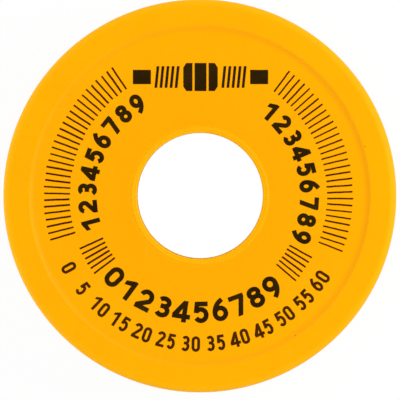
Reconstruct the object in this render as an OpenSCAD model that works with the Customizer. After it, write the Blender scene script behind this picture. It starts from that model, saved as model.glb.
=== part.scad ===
// Thread seal tape roll: a two-piece moulded spool, the wound tape and its loose end.
// The spool's axis is Z, the printed flange is on top, and the origin is the middle of the underside.

/* [Tape] */
// Width of the tape
tape_width = 19; // [12:0.5:25]
// Nominal thickness of the tape
tape_thickness = 0.25; // [0.1:0.01:0.28]
// Length of tape on a full roll
tape_length = 15000; // [5000:250:17000]
// Share of the nominal thickness that is left under winding tension
wound_share = 0.88; // [0.6:0.01:1]
// Length of the loose end that lifts off the roll
loose_length = 34; // [15:1:60]
// Angle round the roll at which the loose end leaves it
loose_angle = -105; // [-180:5:180]

/* [Spool] */
// Diameter of both flanges
flange_dia = 80; // [78:1:110]
// Thickness of a flange at its rim
flange_thickness = 2; // [1.8:0.1:3]
// Diameter of the bore through the hub
bore_dia = 25.7; // [18:0.1:30]
// Wall of the spigot on the front half
spigot_wall = 1.65; // [0.8:0.05:2]
// Wall of the hub sleeve on the rear half
sleeve_wall = 1.4; // [1:0.1:2.5]
// Thickness of the ledge under the spigot
ledge_thickness = 1; // [0.7:0.1:1.1]
// Fillet between the hub sleeve and the rear flange
hub_fillet = 0.25; // [0.1:0.05:0.3]

/* [Flange relief] */
// Width of the raised rim
rim_width = 5.15; // [3:0.05:9]
// Depth of the panel below the rim
panel_depth = 0.5; // [0.2:0.05:0.7]
// Radius of the hollow ramp that climbs from the panel to the rim
ramp_radius = 2; // [0.6:0.1:3]
// Radius that rounds the rim's inner edge, at the top of the ramp
rim_edge_radius = 0.4; // [0.1:0.05:0.6]
// Radius of the rounded outer edge
edge_radius = 1.45; // [0.5:0.05:1.5]
// Radius that breaks the flange's edge on the tape side
lip_radius = 0.25; // [0.1:0.05:0.3]
// Radius that rounds the bore's mouth
mouth_radius = 0.3; // [0.1:0.05:0.5]
// Distance from the bore's wall to the middle of the fine bead round it
bead_inset = 0.9; // [0.8:0.05:2]
// Height of the bead above the panel
bead_height = 0.12; // [0.05:0.01:0.2]
// Radius of the bead's round top
bead_radius = 0.6; // [0.3:0.05:0.8]

/* [Snap joint] */
// How far the snap ridge stands out from the spigot
snap_height = 0.35; // [0.15:0.05:0.5]
// Length of the ridge's shallow lead-in slope
snap_lead = 1; // [0.6:0.1:2]
// Length of the ridge's steep holding slope
snap_hold = 0.4; // [0.2:0.1:1]
// Distance from the spigot's end to the ridge's crest
snap_rise = 3; // [2.5:0.1:6]
// Chamfer at the spigot's end and at the sleeve's mouth
lead_chamfer = 0.5; // [0.2:0.05:0.7]

/* [Clearances] */
// Room beside the tape at each flange
side_room = 0.3; // [0.3:0.05:1]
// Radial clearance of the spigot in the sleeve
spigot_clearance = 0.05; // [0.02:0.01:0.15]
// Axial room under the spigot's end
seat_room = 0.2; // [0.1:0.05:0.5]
// Clearance between the hub sleeve and the first turn of tape
wrap_clearance = 0.05; // [0.02:0.01:0.2]
// Clearance between the loose end and the turn under it
loose_gap = 0.15; // [0.1:0.01:0.3]
// Room between the loose end's root and the last wound turn
root_room = 0.3; // [0.2:0.05:1]

/* [Hidden] */
$fn = 96;
// How far cutting shapes run past what they cut
overrun = 1;
half_share = 1 / 2;
full_turn = 360;

// Radii, from the bore out
bore_r = bore_dia * half_share;
spigot_r = bore_r + spigot_wall;
sleeve_r = spigot_r + spigot_clearance;
hub_r = sleeve_r + sleeve_wall;
flange_r = flange_dia * half_share;
rim_r = flange_r - rim_width;
mouth_r = bore_r + mouth_radius;
bead_r = bore_r + bead_inset;

// Heights, from the underside up
tape_room = tape_width + 2 * side_room;
front_z = flange_thickness + tape_room;
tape_z = flange_thickness + side_room;
ledge_z = panel_depth + ledge_thickness;
spigot_end_z = ledge_z + seat_room;
snap_z = spigot_end_z + snap_rise;
web_thickness = flange_thickness - panel_depth;

// The snap groove has twice the spigot's clearance, so that the sleeve's end seats first
snap_clearance = 2 * spigot_clearance;

// Wound tape: its cross-section fills the ring between the hub and the outer turn
wound_thickness = tape_thickness * wound_share;
roll_inner_r = hub_r + wrap_clearance;
roll_r = sqrt(pow(roll_inner_r, 2) + tape_length * wound_thickness / PI);
turn_shift = wound_thickness * half_share;

// Loose end: an arc that lies on the roll just past the end of the last turn
loose_r = roll_r + loose_gap;
loose_sweep = full_turn * loose_length / (2 * PI * loose_r);
root_sweep = full_turn * root_room / (2 * PI * loose_r);

// A flange's outer rounds are limited by its thickness
edge_limit_share = 3 / 4;
lip_limit_share = 1 / 5;
edge_r = min(edge_radius, flange_thickness * edge_limit_share);
lip_r = min(lip_radius, flange_thickness * lip_limit_share);

// The ramp's two arcs stand apart by the first angle; its slope, turned by the second, cuts both
arc_spread = 8;
slope_turn = 10;

spool_colour = [0.98, 0.66, 0.02];
tape_colour = [0.95, 0.95, 0.94];

// Quarter of a disc, in the corner between the positive axes
module quarter_disc(radius) {
    intersection() {
        circle(r = radius);
        square(radius);
    }
}

// Half of a disc: the half above the x axis, or below it
module half_disc(radius, above) {
    intersection() {
        circle(r = radius);
        translate([-radius - overrun, above ? 0 : -radius - overrun])
            square([2 * (radius + overrun), radius + overrun]);
    }
}

// Smooth ramp from the rim's level down to the panel: a round crest that starts level at x = 0,
// a short straight slope, and a hollow that ends level on the panel
module ramp_section() {
    reach = (rim_edge_radius + ramp_radius) / cos(arc_spread);
    crest_y = flange_thickness - rim_edge_radius;
    hollow_y = web_thickness + ramp_radius;
    rise = hollow_y - crest_y;
    run = sqrt(pow(reach, 2) - pow(rise, 2));
    // The slope runs through the point that divides the line between the arcs' centres by their radii
    crest_share = rim_edge_radius / (rim_edge_radius + ramp_radius);
    middle = [run * crest_share, crest_y + rise * crest_share];
    fall = atan2(run, rise) - slope_turn;
    along = [cos(fall), -sin(fall)];
    difference() {
        union() {
            translate([0, crest_y]) quarter_disc(rim_edge_radius);
            polygon([
                [0, 0],
                [run, 0],
                [run, hollow_y],
                middle + along * ramp_radius * sin(slope_turn),
                middle - along * rim_edge_radius * sin(slope_turn),
                [0, crest_y]
            ]);
        }
        translate([run, hollow_y]) circle(r = ramp_radius);
    }
}

// Half section of a flange: x is the radius, y runs from the tape side out to the rim's face
module flange_section() {
    // Plain web from the bore's rounded mouth to the rim
    translate([mouth_r, 0]) square([rim_r - mouth_r, web_thickness]);
    translate([bore_r, 0]) square([mouth_radius, web_thickness - mouth_radius]);
    translate([mouth_r, web_thickness - mouth_radius]) mirror([1, 0]) quarter_disc(mouth_radius);
    // Fine bead round the bore, whose lower half lies in the web
    translate([bead_r, web_thickness + bead_height - bead_radius]) half_disc(bead_radius, true);
    translate([rim_r, 0]) mirror([1, 0]) ramp_section();
    rim_section();
}

// Raised rim with its rounded outer edge and its broken edge on the tape side
module rim_section() {
    translate([rim_r, 0]) square([rim_width - edge_r, flange_thickness]);
    translate([rim_r, lip_r]) square([rim_width, flange_thickness - edge_r - lip_r]);
    translate([rim_r, 0]) square([rim_width - lip_r, lip_r]);
    translate([flange_r - edge_r, flange_thickness - edge_r]) quarter_disc(edge_r);
    translate([flange_r - lip_r, lip_r]) mirror([0, 1]) quarter_disc(lip_r);
}

// Spigot with its chamfered end, drawn at its height in the spool
module spigot_section() {
    polygon([
        [bore_r, spigot_end_z],
        [spigot_r - lead_chamfer, spigot_end_z],
        [spigot_r, spigot_end_z + lead_chamfer],
        [spigot_r, front_z + web_thickness * half_share],
        [bore_r, front_z + web_thickness * half_share]
    ]);
}

// Snap ridge: a shallow slope to go in by and a steep one to hold by, grown by a clearance for its groove
module snap_section(clearance) {
    translate([spigot_r, snap_z])
        polygon([
            [-spigot_wall * half_share, -snap_lead - clearance],
            [0, -snap_lead - clearance],
            [snap_height + clearance, -clearance],
            [snap_height + clearance, clearance],
            [0, snap_hold + clearance],
            [-spigot_wall * half_share, snap_hold + clearance]
        ]);
}

// Socket that the spigot fits in, with the snap groove and a chamfered mouth
module socket_section() {
    translate([0, ledge_z]) square([sleeve_r, front_z - ledge_z + overrun]);
    snap_section(snap_clearance);
    polygon([
        [0, front_z - lead_chamfer],
        [sleeve_r, front_z - lead_chamfer],
        [sleeve_r + lead_chamfer + overrun, front_z + overrun],
        [0, front_z + overrun]
    ]);
}

// Hub sleeve with its fillet into the rear flange
module sleeve_section() {
    translate([spigot_r, web_thickness]) square([hub_r - spigot_r, front_z - web_thickness]);
    difference() {
        translate([hub_r, web_thickness]) square([hub_fillet, panel_depth + hub_fillet]);
        translate([hub_r + hub_fillet, flange_thickness + hub_fillet]) circle(r = hub_fillet);
    }
}

// End view of the roll: two half turns whose radii differ by half a layer make one turn of a spiral,
// which ends in a step one layer high
module roll_outline() {
    half_disc(roll_r, true);
    translate([turn_shift, 0]) half_disc(roll_r + turn_shift, false);
}

// Printed flange with the bead, the rim and the spigot
module front_spool_half() {
    color(spool_colour)
        rotate_extrude() {
            translate([0, front_z]) flange_section();
            spigot_section();
            snap_section(0);
        }
}

// Plain flange with the hub sleeve that takes the spigot
module rear_spool_half() {
    color(spool_colour)
        rotate_extrude() {
            difference() {
                union() {
                    translate([0, flange_thickness]) mirror([0, 1]) flange_section();
                    sleeve_section();
                }
                socket_section();
            }
        }
}

// Tape wound on the hub, with the step where the last turn ends
module tape_roll() {
    color(tape_colour)
        rotate(loose_angle)
            translate([0, 0, tape_z])
                linear_extrude(tape_width)
                    difference() {
                        roll_outline();
                        circle(r = roll_inner_r);
                    }
}

// Loose end of the tape, lying on the roll past the step
module tape_end() {
    color(tape_colour)
        rotate(loose_angle + root_sweep)
            translate([0, 0, tape_z])
                rotate_extrude(angle = loose_sweep)
                    translate([loose_r, 0]) square([tape_thickness, tape_width]);
}

front_spool_half();
rear_spool_half();
tape_roll();
tape_end();
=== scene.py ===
"""Looks of the thread seal tape roll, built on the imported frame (metres, +Z out of the printed face)."""
import math
import random
from types import SimpleNamespace

import bmesh
import bpy
from mathutils import Color, Matrix, Vector, noise

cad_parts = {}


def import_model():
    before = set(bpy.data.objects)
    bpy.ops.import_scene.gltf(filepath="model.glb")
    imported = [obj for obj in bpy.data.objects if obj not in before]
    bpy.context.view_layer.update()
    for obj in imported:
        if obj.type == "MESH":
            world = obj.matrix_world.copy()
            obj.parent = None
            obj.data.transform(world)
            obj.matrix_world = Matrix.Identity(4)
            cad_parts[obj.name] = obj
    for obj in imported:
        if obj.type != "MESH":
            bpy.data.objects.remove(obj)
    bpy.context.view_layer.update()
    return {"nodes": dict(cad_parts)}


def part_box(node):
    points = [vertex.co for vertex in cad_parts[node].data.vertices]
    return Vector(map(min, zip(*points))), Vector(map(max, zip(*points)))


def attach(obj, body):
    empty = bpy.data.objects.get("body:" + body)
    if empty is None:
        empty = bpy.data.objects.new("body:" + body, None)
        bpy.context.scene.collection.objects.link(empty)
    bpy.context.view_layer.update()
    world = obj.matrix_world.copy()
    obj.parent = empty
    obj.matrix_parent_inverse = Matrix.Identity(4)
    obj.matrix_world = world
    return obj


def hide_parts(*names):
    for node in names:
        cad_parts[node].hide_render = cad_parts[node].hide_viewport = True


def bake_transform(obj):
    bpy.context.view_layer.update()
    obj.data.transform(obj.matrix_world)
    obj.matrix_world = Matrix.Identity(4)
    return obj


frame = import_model()
nodes = frame["nodes"]

MM = 0.001
FULL_TURN = 360.0
# Rounding of lengths that are read from the frame, in decimals of a millimetre
FRAME_DECIMALS = 4


def in_mm(metres):
    return round(metres / MM, FRAME_DECIMALS)


# The photo: its width, where the flange's outline lies in it, and how many pixels a millimetre takes there
IMAGE_PX = 400
DISC_PX = (199.84, 195.90)
PX_PER_MM = 4.914

# The printed face, in mm: the rim is the frame's highest place, the panel is sunk below it, and the outline,
# where the flange is widest, lies below the rim's rounded outer edge
RIM_Z = in_mm(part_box("front_spool_half")[1].z)
PANEL_DEPTH = 0.5
EDGE_RADIUS = 1.45
PANEL_Z = RIM_Z - PANEL_DEPTH
OUTLINE_Z = RIM_Z - EDGE_RADIUS

# The wound tape, in mm and degrees: its width and place are the frame's, the rest is as in the CAD source
ROLL_LOW, ROLL_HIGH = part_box("tape_roll")
TAPE_Z = in_mm(ROLL_LOW.z)
TAPE_WIDTH = in_mm(ROLL_HIGH.z - ROLL_LOW.z)
TAPE_LENGTH = 15000.0
FILM_MM = 0.25
WOUND_SHARE = 0.88
LAYER = FILM_MM * WOUND_SHARE
ROLL_INNER_R = 16.0
ROLL_R = math.sqrt(ROLL_INNER_R ** 2 + TAPE_LENGTH * LAYER / math.pi)
STEP_ANGLE = -105.0
LOOSE_LENGTH = 34.0

# The camera: its distance from the outline's height and how far it stands off the spool's axis, in mm
CAMERA_MM = 2400.0
CAMERA_OFF_MM = (9.0, 8.2)
SENSOR_MM = 36.0
# Nearest and farthest distance that it sees, in metres
CAMERA_CLIP = (0.01, 20.0)


# Helpers for meshes

def mesh_object(name, bm):
    """Object made of a finished mesh, linked to the scene."""
    mesh = bpy.data.meshes.new(name)
    bm.normal_update()
    bm.to_mesh(mesh)
    bm.free()
    obj = bpy.data.objects.new(name, mesh)
    bpy.context.scene.collection.objects.link(obj)
    return obj


def round_spool(radius, angle, z):
    """Point in metres, for a radius and a height in mm and an angle in degrees round the spool's axis."""
    a = math.radians(angle)
    return (radius * math.cos(a) * MM, radius * math.sin(a) * MM, z * MM)


def grow(place, start, length):
    """Smooth step along a length: 0 up to its start, 1 from its end on."""
    share = min(1.0, max(0.0, (place - start) / length))
    return share * share * (3 - 2 * share)


# Helpers for materials

BYTE = 255.0


def linear(*srgb):
    """Linear colour of an sRGB one in 0-255."""
    return tuple(Color([value / BYTE for value in srgb]).from_srgb_to_scene_linear())


class Nodes:
    """Short way to add, set and join the shader nodes of a material or a world."""

    # Sockets of a Mix node that mixes colours: factor and both colours, and the mixed colour
    MIX_INPUTS = (0, 6, 7)
    MIX_RESULT = 2

    def __init__(self, owner):
        owner.use_nodes = True
        self.tree = owner.node_tree
        self.shader = self.tree.nodes.get("Principled BSDF")

    def add(self, kind, **sockets):
        node = self.tree.nodes.new(kind)
        for name, value in sockets.items():
            node.inputs[name].default_value = value
        return node

    def link(self, source, target):
        self.tree.links.new(source, target)

    def feed(self, value, socket):
        """Give a socket a number, a colour or another node's output."""
        if isinstance(value, (int, float)):
            socket.default_value = value
        elif isinstance(value, tuple):
            socket.default_value = (*value, 1.0)
        else:
            self.link(value, socket)

    def finish_shader(self, constants, **linked):
        """Set the shader's constant sockets, and link the others, whose names have _ for a space."""
        for name, value in constants.items():
            self.shader.inputs[name].default_value = value
        for name, output in linked.items():
            self.link(output, self.shader.inputs[name.replace("_", " ")])

    def math(self, operation, *values):
        node = self.tree.nodes.new("ShaderNodeMath")
        node.operation = operation
        for value, socket in zip(values, node.inputs):
            self.feed(value, socket)
        return node.outputs[0]

    def times(self, value, factor):
        return self.math("MULTIPLY", value, factor)

    def blend(self, first, first_share, second, second_share):
        """Sum of two values, each times its share."""
        return self.math("ADD", self.times(first, first_share), self.times(second, second_share))

    def split(self, vector):
        node = self.tree.nodes.new("ShaderNodeSeparateXYZ")
        self.link(vector, node.inputs[0])
        return node.outputs

    def mapping(self, vector, scale):
        node = self.tree.nodes.new("ShaderNodeMapping")
        node.inputs["Scale"].default_value = scale
        self.link(vector, node.inputs["Vector"])
        return node.outputs["Vector"]

    def noise(self, vector, scale, detail, rough):
        node = self.add("ShaderNodeTexNoise", Scale=scale, Detail=detail, Roughness=rough)
        self.link(vector, node.inputs["Vector"])
        return node.outputs["Fac"]

    def stretched_noise(self, vector, scales, detail, rough):
        """Noise with a scale of its own along each axis."""
        return self.noise(self.mapping(vector, scales), scale=1.0, detail=detail, rough=rough)

    def ramp(self, factor, stops):
        node = self.tree.nodes.new("ShaderNodeValToRGB")
        elements = node.color_ramp.elements
        while len(elements) < len(stops):
            elements.new(position=0.5)
        for element, (position, colour) in zip(elements, stops):
            element.position = position
            element.color = (*colour, 1.0)
        self.link(factor, node.inputs["Fac"])
        return node.outputs["Color"]

    def mix(self, factor, first, second):
        node = self.tree.nodes.new("ShaderNodeMix")
        node.data_type = "RGBA"
        for value, index in zip((factor, first, second), self.MIX_INPUTS):
            self.feed(value, node.inputs[index])
        return node.outputs[self.MIX_RESULT]

    def range(self, value, low, high, to_low, to_high):
        node = self.tree.nodes.new("ShaderNodeMapRange")
        for name, number in zip(("From Min", "From Max", "To Min", "To Max"), (low, high, to_low, to_high)):
            node.inputs[name].default_value = number
        self.link(value, node.inputs["Value"])
        return node.outputs["Result"]

    def distance(self, vector, point):
        node = self.tree.nodes.new("ShaderNodeVectorMath")
        node.operation = "DISTANCE"
        self.link(vector, node.inputs[0])
        node.inputs[1].default_value = point
        return node.outputs["Value"]

    def bump(self, height, strength, depth_mm, normal=None):
        node = self.add("ShaderNodeBump", Strength=strength, Distance=depth_mm * MM)
        self.link(height, node.inputs["Height"])
        if normal is not None:
            self.link(normal, node.inputs["Normal"])
        return node.outputs["Normal"]


# Plastic of the spool

# Flow streaks run out from the hub: how fast they change round the spool, and along a metre of radius
STREAKS_ROUND = 9.0
STREAKS_OUT = 25.0
# Fine scuffs, long one way, and others across them: changes per metre along each axis
SCUFFS = (2600.0, 140.0, 900.0)
CROSS_SCUFFS = (160.0, 2400.0, 900.0)
MOTTLE_SHARE = 0.62
STREAK_SHARE = 0.38
PLASTIC_TONES = (
    (0.30, linear(254, 171, 0)),
    (0.50, linear(255, 174, 0)),
    (0.72, linear(255, 177, 0)),
)
# Tints of the plastic: the radii in mm where each starts and ends, its strength at both, and its colour.
# The plastic is a shade deeper orange toward the hub
WEB_TINT = (14.0, 37.0, 0.70, 0.0, linear(255, 165, 0))
# Painted glow: the rounded edges are paler, as if light got through them, at the rim and more so round the
# bore
RIM_EDGE_PAINTED_GLOW = (38.3, 39.8, 0.0, 1.0, linear(255, 181, 2))
BEAD_PAINTED_GLOW = (13.7, 14.6, 1.0, 0.0, linear(255, 178, 2))
# Painted glow on the wall of the bore too, as if light came through the thin spigot
BORE_PAINTED_GLOW = (12.87, 13.10, 1.0, 0.0, linear(255, 192, 18))
# Painted shade in the hollow under the rim, which is a deeper orange there: where it starts, is strongest
# and ends
HOLLOW_PAINTED_SHADE_MM = (33.2, 34.0, 34.6)
HOLLOW_PAINTED_SHADE_STRENGTH = 0.4
HOLLOW_PAINTED_SHADE_COLOUR = linear(255, 160, 0)
GRAIN_COLOUR = linear(240, 157, 0)
GRAIN_STRENGTH = 0.08
SCRATCH_COLOUR = linear(255, 200, 70)
SCRATCH_STRENGTH = 0.05
SCRATCH_ROUGHNESS = 0.06
# The core that forms the bore leaves it matt: radii in mm, and how much rougher the wall is
MATT_MM = (12.87, 13.00)
MATT_ROUGHNESS = 0.5
# Reflections take on the pigment's colour
PIGMENT_TINT = (1.0, 0.78, 0.36, 1.0)
# Specks of dirt by the rim's inner edge: their place in the photo, and how far one lies below the rim, in mm
HOLLOW_SPECK_PX = (295.5, 335.5)
HOLLOW_SPECK_DROP = 0.19
RIM_SPECK_PX = (364.7, 146.5)
DIRT_COLOUR = linear(120, 62, 6)
DIRT_STRENGTH = 0.8
# Radius up to which a speck is full, and where it has faded out, in mm
DIRT_MM = (0.08, 0.16)


def plastic_colour(n, place, radius, tone, grain, scratch):
    """Colour of the plastic, from its place, its radius on the spool and the patterns in it, with painted
    glow at its edges and bore and painted shade in the hollow under the rim.
    """
    base = n.ramp(tone, PLASTIC_TONES)
    # Of these tints, the rim edge's, the bead's and the bore's are painted glow
    for start, end, at_start, at_end, colour in (WEB_TINT, RIM_EDGE_PAINTED_GLOW, BEAD_PAINTED_GLOW, BORE_PAINTED_GLOW):
        base = n.mix(n.range(radius, start * MM, end * MM, at_start, at_end), base, colour)
    # Painted shade: the hollow under the rim is a deeper orange
    start, middle, end = (mm * MM for mm in HOLLOW_PAINTED_SHADE_MM)
    rise = n.range(radius, start, middle, 0.0, HOLLOW_PAINTED_SHADE_STRENGTH)
    fall = n.range(radius, middle, end, HOLLOW_PAINTED_SHADE_STRENGTH, 0.0)
    base = n.mix(n.math("MINIMUM", rise, fall), base, HOLLOW_PAINTED_SHADE_COLOUR)
    dots = n.range(grain, low=0.60, high=0.72, to_low=0.0, to_high=1.0)
    base = n.mix(n.times(dots, GRAIN_STRENGTH), base, GRAIN_COLOUR)
    base = n.mix(n.times(scratch, SCRATCH_STRENGTH), base, SCRATCH_COLOUR)
    full, gone = (mm * MM for mm in DIRT_MM)
    for (x_px, y_px), z in ((HOLLOW_SPECK_PX, RIM_Z - HOLLOW_SPECK_DROP), (RIM_SPECK_PX, RIM_Z)):
        point = Vector(((x_px - DISC_PX[0]) / PX_PER_MM, (DISC_PX[1] - y_px) / PX_PER_MM, z)) * MM
        dirt = n.range(n.distance(place, point), full, gone, DIRT_STRENGTH, 0.0)
        base = n.mix(dirt, base, DIRT_COLOUR)
    return base


def spool_plastic():
    """Satin orange polyolefin: faint flow streaks from the hub, mottling, fine scuffs and moulded skin."""
    material = bpy.data.materials.new("spool_plastic")
    n = Nodes(material)
    place = n.add("ShaderNodeTexCoord").outputs["Object"]
    x, y, _ = n.split(place)
    radius = n.math("SQRT", n.math("ADD", n.times(x, x), n.times(y, y)))
    angle = n.math("ARCTAN2", y, x)
    polar = n.add("ShaderNodeCombineXYZ")
    n.link(n.times(n.math("COSINE", angle), STREAKS_ROUND), polar.inputs["X"])
    n.link(n.times(n.math("SINE", angle), STREAKS_ROUND), polar.inputs["Y"])
    n.link(n.times(radius, STREAKS_OUT), polar.inputs["Z"])

    streaks = n.noise(polar.outputs["Vector"], scale=1.0, detail=4.0, rough=0.6)
    mottle = n.noise(place, scale=85.0, detail=4.0, rough=0.5)
    grain = n.noise(place, scale=2600.0, detail=2.0, rough=0.5)
    skin = n.noise(place, scale=700.0, detail=3.0, rough=0.55)
    scuffs = n.stretched_noise(place, SCUFFS, detail=2.0, rough=0.5)
    cross = n.stretched_noise(place, CROSS_SCUFFS, detail=2.0, rough=0.5)
    tone = n.blend(mottle, MOTTLE_SHARE, streaks, STREAK_SHARE)
    along = n.range(scuffs, low=0.66, high=0.74, to_low=0.0, to_high=1.0)
    across = n.range(cross, low=0.68, high=0.76, to_low=0.0, to_high=1.0)
    scratch = n.math("MAXIMUM", along, across)

    satin = n.range(skin, low=0.3, high=0.7, to_low=0.38, to_high=0.48)
    rough = n.math("ADD", satin, n.times(scratch, SCRATCH_ROUGHNESS))
    wall, face = (mm * MM for mm in MATT_MM)
    matt = n.range(radius, wall, face, MATT_ROUGHNESS, 0.0)
    normal = n.bump(skin, strength=0.10, depth_mm=0.03)
    normal = n.bump(grain, strength=0.06, depth_mm=0.01, normal=normal)
    normal = n.bump(scratch, strength=0.05, depth_mm=0.01, normal=normal)
    n.finish_shader(
        {"IOR": 1.48, "Specular IOR Level": 0.15, "Specular Tint": PIGMENT_TINT},
        Base_Color=plastic_colour(n, place, radius, tone, grain, scratch),
        Roughness=n.math("ADD", rough, matt),
        Normal=normal,
    )
    return material


# Film of the tape

# Patterns along the film and across it, in changes per metre of its UV map
FILM_LINES = (60.0, 5200.0, 1.0)
FILM_BANDS = (25.0, 900.0, 1.0)
FILM_CLOUDS = (160.0, 260.0, 1.0)
CLOUD_SHARE = 0.5
BAND_SHARE = 0.5
FILM_TONES = (
    (0.32, linear(220, 221, 219)),
    (0.50, linear(232, 233, 231)),
    (0.70, linear(242, 242, 241)),
)
FILM_LINE_COLOUR = linear(206, 207, 206)
FILM_LINE_STRENGTH = 0.30
# How far light spreads inside the film, in metres
FILM_SCATTER = (0.0012, 0.0012, 0.0012)


def tape_film():
    """Soft white film: lines along its length, faint cloudiness, a waxy sheen. Needs a UV map in metres."""
    material = bpy.data.materials.new("seal_tape_film")
    n = Nodes(material)
    place = n.add("ShaderNodeTexCoord").outputs["UV"]
    lines = n.stretched_noise(place, FILM_LINES, detail=3.0, rough=0.6)
    bands = n.stretched_noise(place, FILM_BANDS, detail=2.0, rough=0.5)
    clouds = n.stretched_noise(place, FILM_CLOUDS, detail=3.0, rough=0.5)
    base = n.ramp(n.blend(clouds, CLOUD_SHARE, bands, BAND_SHARE), FILM_TONES)
    thin = n.range(lines, low=0.52, high=0.70, to_low=0.0, to_high=1.0)
    normal = n.bump(bands, strength=0.25, depth_mm=0.06)
    normal = n.bump(lines, strength=0.30, depth_mm=0.03, normal=normal)
    n.finish_shader(
        {
            "IOR": 1.38,
            "Sheen Weight": 0.12,
            "Sheen Roughness": 0.45,
            "Subsurface Weight": 0.12,
            "Subsurface Radius": FILM_SCATTER,
            "Subsurface Scale": 1.0,
        },
        Base_Color=n.mix(n.times(thin, FILM_LINE_STRENGTH), base, FILM_LINE_COLOUR),
        Roughness=n.range(lines, low=0.3, high=0.7, to_low=0.44, to_high=0.62),
        Normal=normal,
    )
    return material


# Ink of the print

THIN_INK_COLOUR = linear(92, 58, 6)
THIN_INK_STRENGTH = 0.35


def print_ink(name, dark, pale):
    """Pad-printed dark ink that varies between two tones and is a little thin in places."""
    material = bpy.data.materials.new(name)
    n = Nodes(material)
    place = n.add("ShaderNodeTexCoord").outputs["Object"]
    cover = n.noise(place, scale=1400.0, detail=4.0, rough=0.6)
    blotch = n.noise(place, scale=240.0, detail=2.0, rough=0.5)
    base = n.ramp(blotch, ((0.30, dark), (0.70, pale)))
    thin = n.range(cover, low=0.62, high=0.78, to_low=0.0, to_high=1.0)
    n.finish_shader(
        {"Specular IOR Level": 0.06, "Specular Tint": PIGMENT_TINT},
        Base_Color=n.mix(n.times(thin, THIN_INK_STRENGTH), base, THIN_INK_COLOUR),
        Roughness=n.range(cover, low=0.3, high=0.7, to_low=0.42, to_high=0.60),
        Normal=n.bump(cover, strength=0.2, depth_mm=0.02),
    )
    return material


PLASTIC = spool_plastic()
FILM = tape_film()
INK = print_ink("print_ink", dark=linear(38, 22, 2), pale=linear(50, 32, 6))
# Fine lines take less ink, so that the plastic turns them brown
FINE_INK = print_ink("print_ink_fine", dark=linear(62, 14, 0), pale=linear(74, 22, 0))
# The outer row of numbers is browner too
BROWN_INK = print_ink("print_ink_brown", dark=linear(62, 28, 0), pale=linear(78, 40, 2))

for name in ("front_spool_half", "rear_spool_half"):
    for slot in nodes[name].material_slots:
        slot.material = PLASTIC


# Wound tape

# Steps of its mesh round the roll and across its skin, and the layers whose edges show at its sides
ROLL_STEPS = 480
SKIN_STEPS = 30
EDGE_LAYERS = 7
# Rings of points on the plain part of its sides, in mm from its inside
SIDE_RINGS = (0.0, 6.0, 14.0)
# Gap between the edges of two layers, and at the corner of the outermost one, in mm
LAYER_GAP = 0.02
CORNER_GAP = 0.07
# How far layer edges lie inside the tape's width, and how far they drift and waver there, in mm
EDGE_INSET = 0.05
EDGE_DRIFT = 0.11
EDGE_WAVER = 0.05
# How often the edges drift and waver in a turn, on the low side and on the high side
LOW_PACE = (1.1, 5.0)
HIGH_PACE = (1.3, 6.0)
# Apart in the noise: neighbouring layers, the waver from the drift, and the high side from the low side
LAYER_STEP = 7.31
WAVER_SEED = 40.0
HIGH_SEED = 80.0
# The skin: how far it starts inside the edges, its crown, and its swelling and ridges, in mm
SKIN_INSET = 0.06
CROWN = 0.03
CROWN_POWER = 4
SWELL = 0.035
RIDGE = 0.020
# Scale of swelling and ridges round the roll and per mm across it, and the ridges' place in the noise
SWELL_SCALE = (2.2, 0.16)
RIDGE_SCALE = (1.1, 0.9)
RIDGE_SHIFT = 31.0
# Points of the mesh that are closer than this are one, in metres
MERGE_DISTANCE = 1e-7


def spiral_r(turn):
    """Radius of the outermost layer's outside, for an angle counted from the step."""
    return ROLL_R + LAYER * turn / FULL_TURN


def wander(seed, turn, pace):
    """Smooth wandering between -1 and 1 along a turn that closes on itself."""
    a = math.radians(turn)
    return noise.noise(Vector((math.cos(a) * pace, math.sin(a) * pace, seed * LAYER_STEP)))


def edge_drift(seed, turn, pace):
    """How far a layer's edge lies off its place, in mm: a slow drift with a quicker waver on it."""
    slow, quick = pace
    return EDGE_DRIFT * wander(seed, turn, slow) + EDGE_WAVER * wander(seed + WAVER_SEED, turn, quick)


def layer_edges(turn, outside):
    """Radii and heights of the outer layers' edges, from inside out, on the low and the high side."""
    low, high = [], []
    for layer in range(EDGE_LAYERS, 0, -1):
        inner = outside - LAYER * layer + LAYER_GAP
        outer = outside - LAYER * (layer - 1) - (LAYER_GAP if layer > 1 else CORNER_GAP)
        low_z = TAPE_Z + EDGE_INSET + edge_drift(layer, turn, LOW_PACE)
        high_z = TAPE_Z + TAPE_WIDTH - EDGE_INSET + edge_drift(layer + HIGH_SEED, turn, HIGH_PACE)
        low += [(inner, low_z), (outer, low_z)]
        high += [(inner, high_z), (outer, high_z)]
    return low, high


def skin_noise(angle, z, scale, shift=0.0):
    """Noise on the roll's skin, for an angle in radians and a height in mm."""
    around, across = scale
    return noise.noise(Vector((math.cos(angle) * around + shift, math.sin(angle) * around, z * across)))


def roll_profile(turn):
    """Section of the roll at an angle from its step: radii and heights in mm, once round."""
    angle = math.radians(STEP_ANGLE + turn)
    outside = spiral_r(turn)
    low, high = layer_edges(turn, outside)
    bottom, top = low[-1][1], high[-1][1]
    skin = []
    for k in range(SKIN_STEPS + 1):
        share = k / SKIN_STEPS
        z = bottom + SKIN_INSET + (top - bottom - 2 * SKIN_INSET) * share
        crown = CROWN * (1 - (2 * share - 1) ** CROWN_POWER)
        swell = SWELL * skin_noise(angle, z, SWELL_SCALE)
        ridge = RIDGE * skin_noise(angle, z, RIDGE_SCALE, RIDGE_SHIFT)
        skin.append((outside - CROWN + crown + swell + ridge, z))
    low_side = [(ROLL_INNER_R + out, TAPE_Z) for out in SIDE_RINGS]
    high_side = [(ROLL_INNER_R + out, TAPE_Z + TAPE_WIDTH) for out in SIDE_RINGS]
    return low_side + low + skin + high[::-1] + high_side[::-1]


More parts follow.
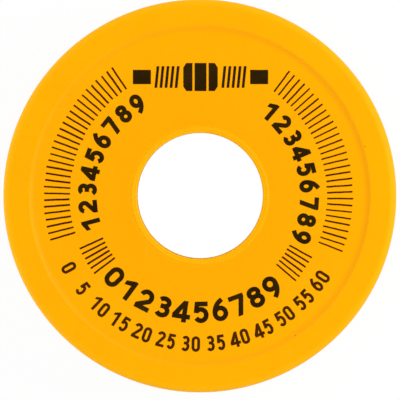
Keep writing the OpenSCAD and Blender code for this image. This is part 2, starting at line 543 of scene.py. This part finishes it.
def wound_tape():
    """Roll with one spiral turn outside, uneven layer edges at its sides and a soft outer skin."""
    bm = bmesh.new()
    uv_layer = bm.loops.layers.uv.new("UVMap")
    columns = []
    for i in range(ROLL_STEPS + 1):
        turn = FULL_TURN * i / ROLL_STEPS
        columns.append([
            (bm.verts.new(round_spool(r, STEP_ANGLE + turn, z)), r, z) for r, z in roll_profile(turn)
        ])
    size = len(columns[0])
    for i, here in enumerate(columns):
        # The last column joins the first one across the step, where the tape doesn't run on
        at_step = i == ROLL_STEPS
        there = columns[0 if at_step else i + 1]
        steps = (0, 0, 0, 0) if at_step else (0, 1, 1, 0)
        for j in range(size):
            above = (j + 1) % size
            corners = (here[j], there[j], there[above], here[above])
            face = bm.faces.new([vert for vert, r, z in corners])
            face.smooth = True
            for loop, (vert, r, z), step in zip(face.loops, corners, steps):
                length = math.tau * ROLL_R * (i + step) / ROLL_STEPS
                loop[uv_layer].uv = (length * MM, (z + (ROLL_R - r)) * MM)
    bmesh.ops.remove_doubles(bm, verts=bm.verts, dist=MERGE_DISTANCE)
    bmesh.ops.recalc_face_normals(bm, faces=bm.faces)
    obj = mesh_object("wound_tape", bm)
    obj.data.materials.append(FILM)
    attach(obj, "spool")
    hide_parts("tape_roll")
    return obj


# Loose end of the tape

# Steps of its mesh along it and across it
ALONG_STEPS = 150
ACROSS_STEPS = 40
# How far its root lies under the last turn, and how far its end and its sides stay inside the tape, in mm
ROOT_MM = 1.6
END_INSET = 0.4
SIDE_INSET = 0.06
# Raggedness of the torn end: size in mm, how often it changes across the tape, and place in the noise
TEARS = ((0.55, 3.1, 4.2), (0.22, 17.0, 9.2), (0.10, 47.0, 2.2))
# How much further it runs at one corner than at the other, in mm
TEAR_SLANT = 0.50
# Forms of the film: the size of each in mm, where along the film it starts and over what length it grows
GAP = (0.10, 0.0, 5.0)
WAVE = (0.05, 3.0, 5.0)
PUCKER = (0.035, 1.0, 4.0)
EDGE_CURL = (0.22, 28.0, 6.0)
# The same for its narrowing, as a share of its width
NARROWING = (0.012, 30.0, 4.0)
# The end's curl starts more gently: its size, start and length in mm
CURL_MM = 0.75
CURL_START = 24.0
CURL_LENGTH = 11.0
# How far the film dips at its root and over what length, and the least gap under it, in mm
DIP_MM = 0.16
DIP_LENGTH = 1.3
LEAST_GAP = 0.02
# Scale of the waves and the puckers per mm along the film and across it, and their place in the noise
WAVE_SCALE = (0.22, 2.5, 3.3)
PUCKER_SCALE = (0.9, 1.2, 8.8)
# The film is drawn thin over its last stretch, in mm, and at its sides: shares of its thickness lost
DRAWN_MM = 1.6
DRAWN_SHARE = 0.45
SIDE_THIN_SHARE = 0.5
SIDE_THIN_POWER = 16


def grown(form, along):
    """Size of one of the film's forms at a place along it."""
    size, start, length = form
    return size * grow(along, start, length)


def film_noise(scale, along, side):
    along_scale, side_scale, place = scale
    return noise.noise(Vector((along * along_scale, side * side_scale, place)))


def torn_end(side):
    """Where the film ends, in mm from the step, at a share of the way across it."""
    torn = TEAR_SLANT * (side - 0.5)
    for size, changes, place in TEARS:
        torn += size * noise.noise(Vector((side * changes, place, 0.0)))
    return LOOSE_LENGTH - END_INSET + torn


def film_lift(along, side):
    """How far the film's underside lies above the turn under it, in mm."""
    lift = LEAST_GAP + grown(GAP, along)
    lift += grown(WAVE, along) * film_noise(WAVE_SCALE, along, side)
    lift += grown(PUCKER, along) * film_noise(PUCKER_SCALE, along, side)
    lift += CURL_MM * grow(along, CURL_START, CURL_LENGTH) ** 2
    lift += grown(EDGE_CURL, along) * (2 * side - 1) ** 2
    return lift - DIP_MM * (1 - grow(along, -ROOT_MM, DIP_LENGTH))


def film_thickness(along, end, side):
    drawn = 1 - DRAWN_SHARE * grow(along, end - DRAWN_MM, DRAWN_MM)
    thinned = 1 - SIDE_THIN_SHARE * (2 * side - 1) ** SIDE_THIN_POWER
    return LAYER * drawn * thinned


def film_points(share, side):
    """Outer and inner point of the film, for shares of the way along it and across it."""
    end = torn_end(side)
    along = -ROOT_MM + (end + ROOT_MM) * share
    turn = math.degrees(along / ROLL_R)
    inner = spiral_r(turn) + film_lift(along, side)
    outer = inner + film_thickness(along, end, side)
    off_middle = (TAPE_WIDTH - 2 * SIDE_INSET) * (side - 0.5) * (1 - grown(NARROWING, along))
    z = TAPE_Z + TAPE_WIDTH / 2 + off_middle
    return [round_spool(r, STEP_ANGLE + turn, z) for r in (outer, inner)]


def loose_tape_end(roll):
    """Last stretch of the tape: leaves the roll at the step, lies on it and ends in a torn edge."""
    bm = bmesh.new()
    uv_layer = bm.loops.layers.uv.new("UVMap")
    uv = {}
    outer, inner = [], []
    for i in range(ALONG_STEPS + 1):
        outer.append([])
        inner.append([])
        length = math.tau * ROLL_R - ROOT_MM + (LOOSE_LENGTH + ROOT_MM) * i / ALONG_STEPS
        for j in range(ACROSS_STEPS + 1):
            width = TAPE_Z + TAPE_WIDTH * j / ACROSS_STEPS
            points = film_points(i / ALONG_STEPS, j / ACROSS_STEPS)
            for row, point in zip((outer[i], inner[i]), points):
                vert = bm.verts.new(point)
                uv[vert] = (length * MM, width * MM)
                row.append(vert)

    def quad(*corners):
        face = bm.faces.new(corners)
        face.smooth = True
        for loop in face.loops:
            loop[uv_layer].uv = uv[loop.vert]

    for i in range(ALONG_STEPS):
        for j in range(ACROSS_STEPS):
            quad(outer[i][j], outer[i + 1][j], outer[i + 1][j + 1], outer[i][j + 1])
            quad(inner[i][j], inner[i][j + 1], inner[i + 1][j + 1], inner[i + 1][j])
        for j in (0, ACROSS_STEPS):
            quad(outer[i][j], inner[i][j], inner[i + 1][j], outer[i + 1][j])
    for i in (0, ALONG_STEPS):
        for j in range(ACROSS_STEPS):
            quad(outer[i][j], outer[i][j + 1], inner[i][j + 1], inner[i][j])
    bmesh.ops.recalc_face_normals(bm, faces=bm.faces)
    obj = mesh_object("loose_tape_end", bm)
    obj.data.materials.append(FILM)
    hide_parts("tape_end")
    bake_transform(obj)


loose_tape_end(wound_tape())


# Print on the panel

# Thickness of the ink, how far it is sunk into the panel, and how far crossing strokes lie apart, in mm
INK_MM = 0.03
INK_SINK_MM = 0.005
STROKE_LIFT = 0.004
PANEL_PX_PER_MM = PX_PER_MM * CAMERA_MM / (CAMERA_MM - (PANEL_Z - OUTLINE_Z))


def px(length):
    """Millimetres on the panel that take so many pixels of the photo."""
    return length / PANEL_PX_PER_MM


# The print sits a little to the left on the flange, and turned by a degree
PRINT_SHIFT_PX = (-1.44, -0.05)
PRINT_CENTRE = [px(shift) for shift in PRINT_SHIFT_PX]
PRINT_TURN = -1.0
# A line's corners are mitred up to this reach, in half widths, which is worked out from this cosine at least
MITRE_REACH = 1.7
MITRE_COSINE = 0.3
# Half a turn has no mitre: the two sides' directions cancel out to less than this
MITRE_NONE = 1e-6


def ink_points(bm, corners, lift):
    """Points over corners in mm: one set sunk a little into the panel, one at the ink's face."""
    low = [bm.verts.new((x * MM, y * MM, (PANEL_Z - INK_SINK_MM) * MM)) for x, y in corners]
    high = [bm.verts.new((x * MM, y * MM, (PANEL_Z + INK_MM + lift) * MM)) for x, y in corners]
    return low, high


def prism(bm, outline, lift=0.0):
    """Thin block of ink on the panel over an outline in mm."""
    low, high = ink_points(bm, outline, lift)
    bm.faces.new(high)
    bm.faces.new(low[::-1])
    for k in range(len(outline)):
        after = (k + 1) % len(outline)
        bm.faces.new((low[k], low[after], high[after], high[k]))


def mitred_sides(points, width, closed):
    """Points on both sides of a path, half a width off it."""
    count = len(points)
    sides = []
    for k, point in enumerate(points):
        arrive = (point - points[k - 1]).normalized()
        leave = (points[(k + 1) % count] - point).normalized()
        if k == 0 and not closed:
            arrive = leave
        if k == count - 1 and not closed:
            leave = arrive
        square = Vector((-arrive.y, arrive.x))
        both = square + Vector((-leave.y, leave.x))
        normal = both.normalized() if both.length > MITRE_NONE else square
        reach = min(MITRE_REACH, 1 / max(MITRE_COSINE, normal.dot(square)))
        off = normal * width / 2 * reach
        sides.append((point + off, point - off))
    return sides


def ribbon(bm, points, width, closed=False, lift=0.0):
    """Line of ink of one width along points in mm, with mitred corners."""
    rows = [ink_points(bm, pair, lift) for pair in mitred_sides(points, width, closed)]
    following = rows[1:] + rows[:1] if closed else rows[1:]
    for (low, high), (next_low, next_high) in zip(rows, following):
        bm.faces.new((high[0], high[1], next_high[1], next_high[0]))
        bm.faces.new((low[0], next_low[0], next_low[1], low[1]))
        for side in (0, 1):
            bm.faces.new((low[side], next_low[side], next_high[side], high[side]))
    if not closed:
        for low, high in (rows[0], rows[-1]):
            bm.faces.new((low[0], low[1], high[1], high[0]))


def ink_piece(name, bm, ink):
    bmesh.ops.recalc_face_normals(bm, faces=bm.faces)
    obj = mesh_object(name, bm)
    obj.data.materials.append(ink)
    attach(obj, "spool")


def on_print(angle, radius):
    """Point of the print in mm, at an angle in degrees and a radius in mm about its centre."""
    a = math.radians(angle)
    return Vector((PRINT_CENTRE[0] + radius * math.cos(a), PRINT_CENTRE[1] + radius * math.sin(a)))


# Ticks: their pitch in degrees, and the points along each line
TICK_PITCH = 2.5
TICK_POINTS = 7
# Unevenness of a tick: turn, tilt and bend in degrees, its ends in pixels, and its width as shares
TICK_TURN = 0.07
TICK_TILT = 0.12
TICK_BEND = 0.05
TICK_END_PX = 0.5
TICK_WIDTH_SHARES = (0.88, 1.08)


def ticks(name, first, count, ends_px, line_px, seed):
    """Row of fine radial lines, each a little uneven, as printed ones are."""
    rng = random.Random(seed)

    def off(most):
        return rng.uniform(-most, most)

    bm = bmesh.new()
    for k in range(first, first + count):
        angle = PRINT_TURN + TICK_PITCH * k + off(TICK_TURN)
        inner, outer = [px(end_px + off(TICK_END_PX)) for end_px in ends_px]
        tilt = off(TICK_TILT)
        width = px(line_px) * rng.uniform(*TICK_WIDTH_SHARES)
        points = []
        for m in range(TICK_POINTS):
            share = m / (TICK_POINTS - 1)
            bend = off(TICK_BEND) + tilt * (share - 0.5)
            points.append(on_print(angle + bend, inner + (outer - inner) * share))
        ribbon(bm, points, width)
    ink_piece(name, bm, FINE_INK)


# Digits: each is one high, and drawn as filled outlines and as lines of one weight.
# An outline is a list of corners; a line is a path of its middle, with True where it closes on itself

ARC_STEPS = 14
RING_STEPS = 22
BEND_STEPS = 10
# Height of the waist of a 3 and an 8
WAIST = 0.53


def arc(cx, cy, rx, ry, start, stop, steps=ARC_STEPS):
    """Points of an elliptic arc between two angles in degrees."""
    angles = [math.radians(start + (stop - start) * k / steps) for k in range(steps + 1)]
    return [(cx + rx * math.cos(a), cy + ry * math.sin(a)) for a in angles]


def ring(cx, cy, rx, ry):
    """Points of a whole ellipse."""
    return arc(cx, cy, rx, ry, 0, FULL_TURN, RING_STEPS)[:-1]


def digit_form(wide, line):
    """Sizes that the digits of one weight share: bow is the radius of a round line as wide as the digit."""
    half = line / 2
    return SimpleNamespace(
        wide=wide,
        line=line,
        half=half,
        mid=wide / 2,
        low=half,
        high=1 - half,
        bow=(wide - line) / 2,
    )


def zero(d):
    top = arc(d.mid, d.high - d.bow, d.bow, d.bow, 0, 180)
    foot = arc(d.mid, d.low + d.bow, d.bow, d.bow, 180, 360)
    return [], [(top + foot, True)]


def one(d):
    stem = d.wide * 0.64
    tip = stem - d.half * 0.3
    flag = d.wide * 0.04
    flag_top = 0.80
    flag_foot = flag_top - d.line * 0.95
    flag_root = 1 - d.line * 1.35
    corners = [
        (stem - d.half, 0),
        (stem + d.half, 0),
        (stem + d.half, 1),
        (tip, 1),
        (flag, flag_top),
        (flag, flag_foot),
        (stem - d.half, flag_root),
    ]
    return [corners], []


def two(d):
    bow_start = 170
    bow_end = -34
    bow = arc(d.mid, d.high - d.bow, d.bow, d.bow, bow_start, bow_end)
    slope_end = (d.half * 0.8, d.half * 1.4)
    foot = [(0, 0), (d.wide, 0), (d.wide, d.line), (0, d.line)]
    return [foot], [(bow + [slope_end], False)]


def three(d):
    up = (d.high - WAIST) / 2
    down = (WAIST - d.low) / 2
    upper_bow = d.bow * 0.92
    # The upper bow starts and the lower one ends so many degrees above and below level, on the left
    open_angle = 150
    # Both have a short stroke at the waist
    upper_end = (d.wide * 0.32, WAIST)
    lower_start = (d.wide * 0.34, WAIST)
    upper = arc(d.mid, WAIST + up, upper_bow, up, open_angle, -90) + [upper_end]
    lower = [lower_start] + arc(d.mid, d.low + down, d.bow, down, 90, -open_angle)
    return [], [(upper, False), (lower, False)]


def four(d):
    stem = d.wide * 0.70
    tip = stem - d.half * 0.9
    bar = 0.27
    # How far the bar runs past the digit's width on both sides, and how wide the slope's foot is
    past = 0.06
    slope_foot = d.line * 1.1
    upright = [(stem - d.half, 0), (stem + d.half, 0), (stem + d.half, 1), (stem - d.half, 1)]
    level = [
        (-past, bar - d.half),
        (d.wide + past, bar - d.half),
        (d.wide + past, bar + d.half),
        (-past, bar + d.half),
    ]
    slope = [
        (-past, bar),
        (-past + slope_foot, bar),
        (stem + d.half, 1),
        (tip, 1),
        (-past, bar + d.half),
    ]
    return [upright, level, slope], []


def five(d):
    bowl_top = 0.64
    tall = (bowl_top - d.low) / 2
    flag_end = (d.wide * 0.95, d.high)
    flag_corner = (d.half + 0.08, d.high)
    flag_foot = (d.half + 0.03, 0.47)
    bowl_start = 132
    bowl_end = -150
    bowl = arc(d.mid, d.low + tall, d.bow, tall, bowl_start, bowl_end)
    return [], [([flag_end, flag_corner, flag_foot], False), (bowl, False)]


def six(d):
    bowl_top = 0.62
    tall = (bowl_top - d.low) / 2
    start = Vector((d.half, d.low + tall * 0.9))
    bend = Vector((d.half, 0.78))
    end = Vector((d.wide * 0.74, 1.0))
    shares = [k / BEND_STEPS for k in range(BEND_STEPS + 1)]
    stem = [start * (1 - t) ** 2 + bend * 2 * t * (1 - t) + end * t ** 2 for t in shares]
    return [], [(ring(d.mid, d.low + tall, d.bow, tall), True), (stem, False)]


def seven(d):
    foot = d.wide * 0.26
    foot_wide = d.line * 1.08
    shoulder = 1 - d.line * 0.8
    bar_end = d.wide - d.line * 1.14
    corners = [
        (foot, 0),
        (foot + foot_wide, 0),
        (d.wide, shoulder),
        (d.wide, 1),
        (0, 1),
        (0, 1 - d.line),
        (bar_end, 1 - d.line),
    ]
    return [corners], []


def eight(d):
    waist = WAIST + 0.01
    up = (d.high - waist) / 2
    down = (waist - d.low) / 2
    upper_bow = d.bow * 0.90
    upper = ring(d.mid, waist + up, upper_bow, up)
    lower = ring(d.mid, d.low + down, d.bow, down)
    return [], [(upper, True), (lower, True)]


def nine(d):
    """A 6, turned round."""
    outlines, lines = six(d)
    return outlines, [([(d.wide - x, 1 - y) for x, y in path], closed) for path, closed in lines]


DIGITS = (zero, one, two, three, four, five, six, seven, eight, nine)
# Space between the digits of a number, as a share of their height
DIGIT_SPACE = 0.13
# How far a digit may lie off its arc
DIGIT_OFF_PX = 0.25


def numbers(name, labels, first, last, seed, style, ink=INK):
    """Plain dial numbers along an arc of the print, their tops outward or toward the bore."""
    rng = random.Random(seed)
    bm = bmesh.new()
    high = px(style.height_px)
    form = digit_form(style.wide_share, style.line_px / style.height_px)
    advance = (style.wide_share + DIGIT_SPACE) * high
    facing = 1 if style.outward else -1
    for k, label in enumerate(labels):
        centre = first + (last - first) * k / (len(labels) - 1)
        for m, digit in enumerate(label):
            shift = (m - (len(label) - 1) / 2) * advance
            angle = centre - facing * math.degrees(shift / px(style.mid_px))
            a = math.radians(angle)
            up = Vector((math.cos(a), math.sin(a))) * facing
            right = Vector((math.sin(a), -math.cos(a))) * facing
            origin = on_print(angle, px(style.mid_px + rng.uniform(-DIGIT_OFF_PX, DIGIT_OFF_PX)))

            def placed(path):
                return [origin + right * (x - form.mid) * high + up * (y - 0.5) * high for x, y in path]

            outlines, lines = DIGITS[int(digit)](form)
            for layer, outline in enumerate(outlines):
                prism(bm, placed(outline), STROKE_LIFT * layer)
            for layer, (path, closed) in enumerate(lines, len(outlines)):
                ribbon(bm, placed(path), form.line * high, closed, STROKE_LIFT * layer)
    ink_piece(name, bm, ink)


# Sign of a threaded pipe nipple: its middle, in pixels right of and above the flange's, and its sizes in mm
SIGN_PX = (0.7, 118.9)
# Half width of the hexagon's front face; start, bevel and end of a side face; half heights at its bevel
HEX_FRONT = 1.2
HEX_SIDE = (1.65, 2.9, 3.5)
HEX_TALL = 2.85
HEX_BEVEL_TALL = 1.9
# Threads: how many, where the first one stands and their pitch; half a line's width, lean and height
THREADS = 5
THREAD_START = 4.75
THREAD_PITCH = 1.03
THREAD_HALF = 0.27
THREAD_LEAN = 0.22
THREAD_TALL = 2.2
# Start and end of the plain pipe, and half its height
PIPE = (10.1, 13.75)
PIPE_TALL = 1.45


def thread_sign():
    """Plain sign of a threaded pipe nipple: a hexagon between two threads and two pipe ends."""
    bm = bmesh.new()
    cx, cy = [px(place) for place in SIGN_PX]

    def block(corners, side=1):
        prism(bm, [(cx + side * x, cy + y) for x, y in corners])

    def box(start, end, tall):
        return [(start, -tall), (end, -tall), (end, tall), (start, tall)]

    near, bevel, far = HEX_SIDE
    face = [
        (near, -HEX_TALL),
        (bevel, -HEX_TALL),
        (far, -HEX_BEVEL_TALL),
        (far, HEX_BEVEL_TALL),
        (bevel, HEX_TALL),
        (near, HEX_TALL),
    ]
    for side in (-1, 1):
        block(box(*PIPE, PIPE_TALL), side)
        block(face, side)
        for k in range(THREADS):
            x = side * (THREAD_START + THREAD_PITCH * k)
            line = box(x - THREAD_HALF, x + THREAD_HALF, THREAD_TALL)
            block([(along + math.copysign(THREAD_LEAN, up), up) for along, up in line])
    block(box(-HEX_FRONT, HEX_FRONT, HEX_TALL))
    ink_piece("print_thread_sign", bm, INK)


# Radii about the print's centre where ticks start and end, in pixels of the photo
SIDE_TICKS_PX = (128.7, 154.4)
LOW_LEFT_TICKS_PX = (104.0, 129.7)
LOW_RIGHT_TICKS_PX = (103.6, 129.1)
# Numbers: radius of their middle, height and line in pixels, and a digit's width as a share of its height
SIDE_NUMBERS = SimpleNamespace(mid_px=111.0, height_px=19.0, line_px=4.4, wide_share=0.66, outward=True)
INNER_NUMBERS = SimpleNamespace(mid_px=116.5, height_px=21.5, line_px=4.7, wide_share=0.72, outward=False)
OUTER_NUMBERS = SimpleNamespace(mid_px=148.0, height_px=15.5, line_px=2.8, wide_share=0.54, outward=False)

ticks("print_ticks_left", first=50, count=30, ends_px=SIDE_TICKS_PX, line_px=1.74, seed=11)
ticks("print_ticks_right", first=-8, count=31, ends_px=SIDE_TICKS_PX, line_px=1.57, seed=12)
ticks("print_ticks_low_left", first=82, count=6, ends_px=LOW_LEFT_TICKS_PX, line_px=1.92, seed=13)
ticks("print_ticks_low_right", first=-16, count=6, ends_px=LOW_RIGHT_TICKS_PX, line_px=1.62, seed=14)

ONES = [str(k) for k in range(1, 10)]
FIVES = [str(5 * k) for k in range(13)]
numbers("print_numbers_left", ONES, first=194.5, last=123.5, seed=21, style=SIDE_NUMBERS)
numbers("print_numbers_right", ONES, first=49.5, last=-21.5, seed=22, style=SIDE_NUMBERS)
numbers("print_numbers_low_inner", ["0"] + ONES, first=224.0, last=309.0, seed=23, style=INNER_NUMBERS)
numbers(
    "print_numbers_low_outer",
    FIVES,
    first=209.0,
    last=325.0,
    seed=24,
    style=OUTER_NUMBERS,
    ink=BROWN_INK,
)
thread_sign()


# Stage, light and camera, in metres

FLOOR_R = 3.0
FLOOR_SIDES = 48
# Just under the part, so that the two never share a plane
FLOOR_Z = -0.00005
# Where it is looked at, the floor is white and keeps some of the shadow; the light it throws back is less
FLOOR_SEEN = (0.90, 0.90, 0.90)
FLOOR_THROWN = (0.60, 0.60, 0.60)
FLOOR_GLOW = 1.01
FLOOR_GLOW_SHARE = 0.92
# Painted light seen through the bore, where the floor glows fully and the shadow is painted out: the radius
# of that place, and where that has faded out
BORE_FLOOR_PAINTED_LIGHT = (0.0135, 0.0145)
# Brightness of the studio, and its grey by the height of a direction, from level to straight up
SKY_LEVEL = 1.25
SKY_GREYS = ((0.00, 0.60), (0.35, 0.75), (0.55, 0.98), (0.78, 1.00), (0.93, 0.08), (1.00, 0.05))
WHITE = (1.0, 1.0, 1.0)


def floor():
    bm = bmesh.new()
    rim = []
    for k in range(FLOOR_SIDES):
        a = math.tau * k / FLOOR_SIDES
        rim.append(bm.verts.new((FLOOR_R * math.cos(a), FLOOR_R * math.sin(a), FLOOR_Z)))
    bm.faces.new(rim)
    obj = mesh_object("floor", bm)
    obj.data.materials.append(floor_white())


def floor_white():
    """Matt white that glows a little toward what looks at it, so that the background is white."""
    material = bpy.data.materials.new("floor_white")
    n = Nodes(material)
    path = n.add("ShaderNodeLightPath").outputs
    seen = n.math("MAXIMUM", path["Is Camera Ray"], path["Is Glossy Ray"])
    seen = n.math("MAXIMUM", seen, path["Is Transmission Ray"])
    n.finish_shader(
        {"Roughness": 0.9, "Specular IOR Level": 0.0},
        Base_Color=n.mix(seen, FLOOR_THROWN, FLOOR_SEEN),
    )
    glow = n.add("ShaderNodeEmission", Strength=FLOOR_GLOW)
    mix = n.add("ShaderNodeMixShader")
    place = n.add("ShaderNodeTexCoord").outputs["Object"]
    # Painted light: under the bore the glow's share is full, which paints out the shadow there
    share = n.range(n.distance(place, (0.0, 0.0, FLOOR_Z)), *BORE_FLOOR_PAINTED_LIGHT, 1.0, FLOOR_GLOW_SHARE)
    n.link(n.times(seen, share), mix.inputs["Fac"])
    n.link(n.shader.outputs["BSDF"], mix.inputs[1])
    n.link(glow.outputs["Emission"], mix.inputs[2])
    n.link(mix.outputs["Shader"], n.tree.nodes["Material Output"].inputs["Surface"])
    return material


def world():
    """Soft studio: bright walls, a darker ceiling round the camera, white where it looks past the floor."""
    studio = bpy.data.worlds.new("studio")
    bpy.context.scene.world = studio
    n = Nodes(studio)
    back = n.tree.nodes["Background"]
    _, _, height = n.split(n.add("ShaderNodeTexCoord").outputs["Generated"])
    sky = n.ramp(height, [(stop, (grey, grey, grey)) for stop, grey in SKY_GREYS])
    looked_at = n.add("ShaderNodeLightPath").outputs["Is Camera Ray"]
    n.link(n.mix(looked_at, sky, WHITE), back.inputs["Color"])
    n.link(n.range(looked_at, 0.0, 1.0, SKY_LEVEL, 1.0), back.inputs["Strength"])


def area_light(name, place, target, size, power):
    light = bpy.data.lights.new(name, "AREA")
    light.shape = "RECTANGLE"
    light.size, light.size_y = size
    light.energy = power
    obj = bpy.data.objects.new(name, light)
    bpy.context.scene.collection.objects.link(obj)
    obj.location = place
    obj.rotation_euler = (Vector(target) - Vector(place)).to_track_quat("-Z", "Y").to_euler()


def camera():
    """Camera that shows the flange's outline where the photo has it."""
    data = bpy.data.cameras.new("camera")
    obj = bpy.data.objects.new("camera", data)
    bpy.context.scene.collection.objects.link(obj)
    data.sensor_width = SENSOR_MM
    data.lens = SENSOR_MM * PX_PER_MM * CAMERA_MM / IMAGE_PX
    # The point that the middle of the picture shows
    middle = IMAGE_PX / 2
    aim = Vector(((middle - DISC_PX[0]) / PX_PER_MM, (DISC_PX[1] - middle) / PX_PER_MM, OUTLINE_Z)) * MM
    place = Vector((*CAMERA_OFF_MM, OUTLINE_Z + CAMERA_MM)) * MM
    back = (place - aim).normalized()
    right = Vector((0, 1, 0)).cross(back).normalized()
    up = back.cross(right)
    obj.matrix_world = Matrix((
        (right.x, up.x, back.x, place.x),
        (right.y, up.y, back.y, place.y),
        (right.z, up.z, back.z, place.z),
        (0, 0, 0, 1),
    ))
    data.clip_start, data.clip_end = CAMERA_CLIP
    bpy.context.scene.camera = obj


floor()
world()
area_light("key", place=(0.545, 0.135, 0.44), target=(0.0, 0.0, 0.02), size=(0.30, 0.30), power=1.75)
area_light("fill", place=(-0.42, 0.0, 0.011), target=(0.0, 0.0, 0.011), size=(1.0, 0.02), power=0.9)
camera()
bpy.context.scene.view_settings.view_transform = "Standard"
